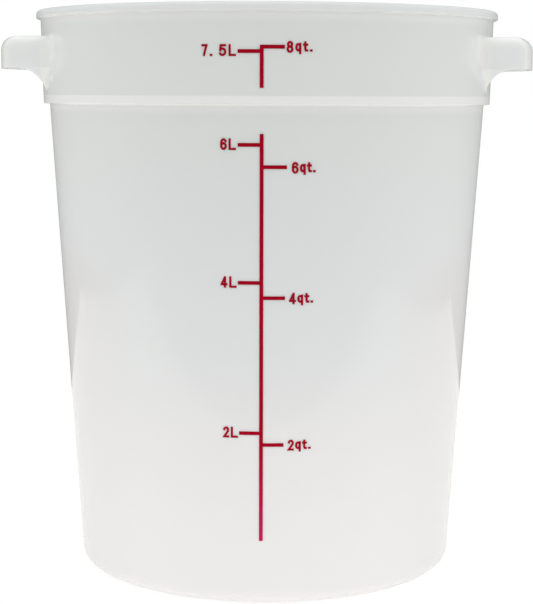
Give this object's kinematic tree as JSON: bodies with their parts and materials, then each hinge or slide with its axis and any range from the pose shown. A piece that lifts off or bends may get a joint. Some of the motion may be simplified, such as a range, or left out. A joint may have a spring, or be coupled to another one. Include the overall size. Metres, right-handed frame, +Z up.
{
  "type": "food storage container",
  "caption": "Round translucent plastic food storage tub with a stepped collar, a rolled rim, two hollow side handles and a red printed volume scale.",
  "frame": {"origin": "on the tub's axis, level with the foot ring that it stands on", "axes": "+Z up along the tub's axis, -Y towards the printed scale, +X and -X towards the handles"},
  "size_m": [0.2594, 0.2256, 0.272],
  "materials": {
    "frosted_plastic": "translucent satin polypropylene",
    "red_ink": "screen-printed ink"
  },
  "bodies": {
    "root": {"tub": "frosted_plastic", "print_2_litre_digit_2": "red_ink", "print_2_litre_letter_l": "red_ink", "print_2_quart_digit_2": "red_ink", "print_2_quart_letter_q": "red_ink", "print_2_quart_letter_t": "red_ink", "print_2_quart_point": "red_ink", "print_4_litre_digit_4": "red_ink", "print_4_litre_letter_l": "red_ink", "print_4_quart_digit_4": "red_ink", "print_4_quart_letter_q": "red_ink", "print_4_quart_letter_t": "red_ink", "print_4_quart_point": "red_ink", "print_6_litre_digit_6": "red_ink", "print_6_litre_letter_l": "red_ink", "print_6_quart_digit_6": "red_ink", "print_6_quart_letter_q": "red_ink", "print_6_quart_letter_t": "red_ink", "print_6_quart_point": "red_ink", "print_7_5_litre_digit_5": "red_ink", "print_7_5_litre_digit_7": "red_ink", "print_7_5_litre_letter_l": "red_ink", "print_7_5_litre_point": "red_ink", "print_8_quart_digit_8": "red_ink", "print_8_quart_letter_q": "red_ink", "print_8_quart_letter_t": "red_ink", "print_8_quart_point": "red_ink", "scale_line_lower": "red_ink", "scale_line_upper": "red_ink"}
  },
  "joints": []
}
